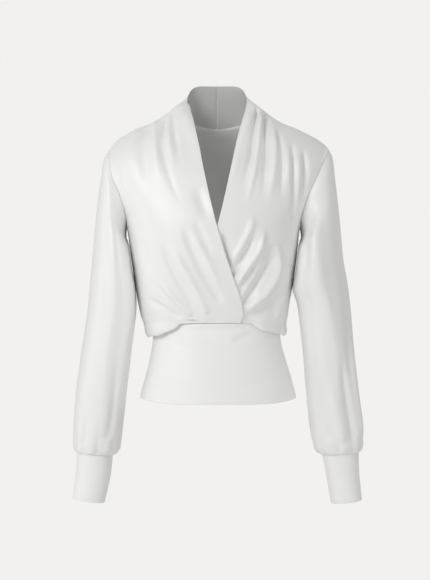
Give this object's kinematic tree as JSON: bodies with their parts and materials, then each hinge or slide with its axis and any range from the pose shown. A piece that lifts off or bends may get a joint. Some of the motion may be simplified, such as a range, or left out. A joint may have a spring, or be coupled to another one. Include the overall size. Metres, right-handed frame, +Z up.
{
  "type": "women's wrap top with a shawl collar, filled out with no wearer",
  "caption": "White wrap top with a grown-on shawl collar, pleated shoulders, full sleeves, long cuffs and a wide flared waistband.",
  "frame": {"origin": "between the shoulders at the level of the neck points, where the wearer holds the top up", "axes": "+Z up, -Y towards the front of the top, +X towards the wearer's left"},
  "size_m": [0.533, 0.2292, 0.7757],
  "materials": {
    "crepe": "satin",
    "band_cloth": "satin"
  },
  "bodies": {
    "root": {"front_right": "crepe", "front_left": "crepe", "back": "crepe", "sleeve_right": "crepe", "sleeve_left": "crepe", "cuff_right": "band_cloth", "cuff_left": "band_cloth", "waistband_front": "band_cloth", "waistband_back": "band_cloth"}
  },
  "joints": []
}
